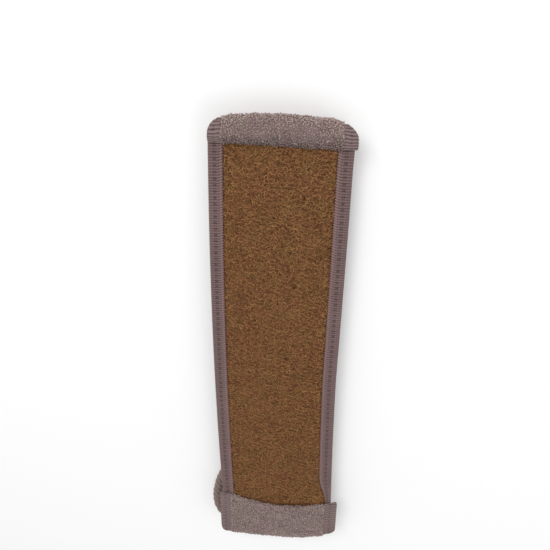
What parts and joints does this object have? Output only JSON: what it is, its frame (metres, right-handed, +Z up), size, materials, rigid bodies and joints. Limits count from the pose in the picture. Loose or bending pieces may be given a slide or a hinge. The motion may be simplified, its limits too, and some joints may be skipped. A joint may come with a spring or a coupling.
{
  "type": "loofah back scrubber",
  "caption": "Long loofah and terry strap bound with ribbed tape, with a terry casing at each end and a swinging rope handle, for scrubbing the back.",
  "frame": {"origin": "Middle of the strap on the surface it lies on, halfway between the channels of the two casings.", "axes": "+X across the strap to the right as seen from the loofah side, +Y along it to the end with the shallow casing, +Z up out of the loofah face."},
  "size_m": [0.1446, 0.5, 0.0285],
  "materials": {
    "loofah": "matted golden brown plant fibre, rough and dry",
    "foam": "open-cell sponge foam, hidden",
    "terry": "looped cotton terry, mauve grey",
    "binding": "ribbed woven tape, mauve grey",
    "thread": "spun sewing thread, dark mauve",
    "rope": "three-strand twisted cotton rope, greyish beige",
    "whipping": "waxed cotton thread wound side by side"
  },
  "bodies": {
    "strap": {"loofah_panel": "loofah", "foam_layer": "foam", "terry_back": "terry", "left_binding": "binding", "right_binding": "binding", "top_casing": "terry", "bottom_casing": "terry", "top_left_cuff": "binding", "top_right_cuff": "binding", "bottom_left_cuff": "binding", "bottom_right_cuff": "binding", "left_binding_stitches": "thread", "right_binding_stitches": "thread", "top_hem_stitches": "thread", "bottom_hem_stitches": "thread"},
    "top_handle": {"top_rope": "rope", "top_rope_whipping": "whipping"},
    "bottom_handle": {"bottom_rope": "rope", "bottom_rope_whipping": "whipping"}
  },
  "joints": [
    {"name": "top_handle_swing", "type": "hinge", "parent": "strap", "child": "top_handle", "pos_m": [0, 0.24, 0.0095], "axis": [1, 0, 0], "range_deg": [0, 160]},
    {"name": "bottom_handle_swing", "type": "hinge", "parent": "strap", "child": "bottom_handle", "pos_m": [0, -0.24, 0.0095], "axis": [-1, 0, 0], "range_deg": [0, 160]}
  ]
}
